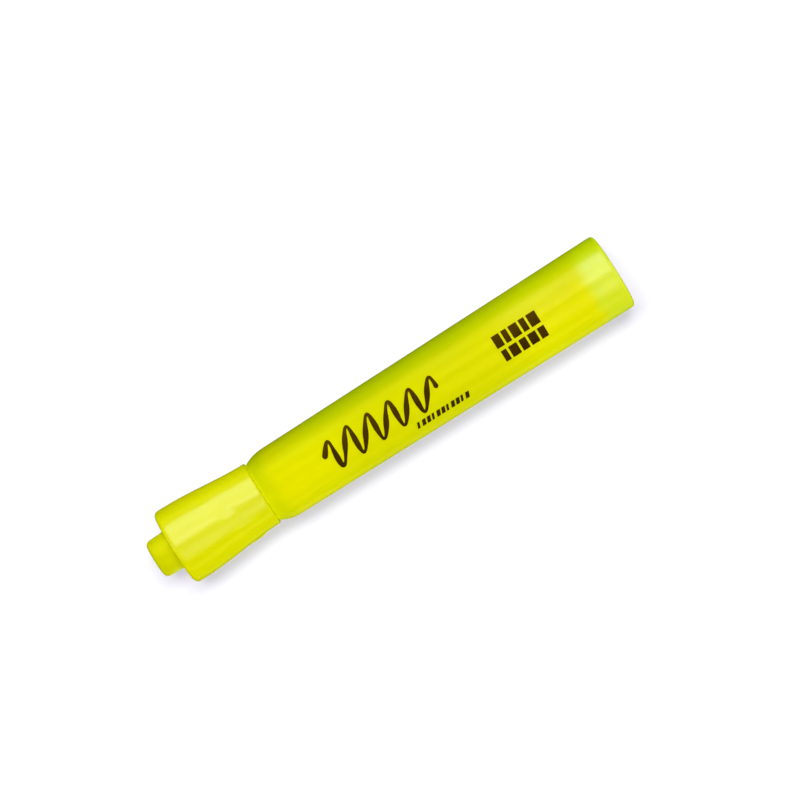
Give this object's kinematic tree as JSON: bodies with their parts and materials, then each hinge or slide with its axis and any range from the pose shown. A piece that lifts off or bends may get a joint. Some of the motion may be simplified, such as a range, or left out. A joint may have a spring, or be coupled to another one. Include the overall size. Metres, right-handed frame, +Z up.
{
  "type": "highlighter",
  "caption": "Fat tapered highlighter pen with a waisted pull-off cap, a pocket clip, a chisel nib and an ink reservoir inside its barrel.",
  "frame": {"origin": "centre of the bounding box's bottom face, on the surface the pen lies on, below the middle of its length", "axes": "+X along the pen towards the barrel's rear end, so the cap and its stub point to -X; +Z up; the clip is low on the -Y side"},
  "size_m": [0.125, 0.019, 0.0189],
  "materials": {
    "barrel_plastic": "satin",
    "plug_plastic": "satin",
    "ink_fibre": "matt, soaked fibre",
    "reservoir_film": "clear gloss",
    "holder_plastic": "satin",
    "nib_felt": "matt felt",
    "cap_plastic": "satin",
    "seal_plastic": "satin"
  },
  "bodies": {
    "barrel": {"barrel": "barrel_plastic", "rear_plug": "plug_plastic", "reservoir_core": "ink_fibre", "reservoir_wrap": "reservoir_film", "breather_tube": "reservoir_film", "nib_holder": "holder_plastic", "chisel_nib": "nib_felt"},
    "cap": {"cap_shell": "cap_plastic", "cap_inner_seal": "seal_plastic"},
    "clip": {"pocket_clip": "cap_plastic"}
  },
  "joints": [
    {"name": "cap_pull", "type": "slide", "parent": "barrel", "child": "cap", "axis": [-1, 0, 0], "range_m": [0, 0.045]},
    {"name": "clip_flex", "type": "hinge", "parent": "cap", "child": "clip", "pos_m": [-0.0556, -0.00615, 0.00248], "axis": [0, 0.7501, -0.6613], "range_deg": [0, 8], "stiffness_Nm_per_rad": 0.2}
  ]
}
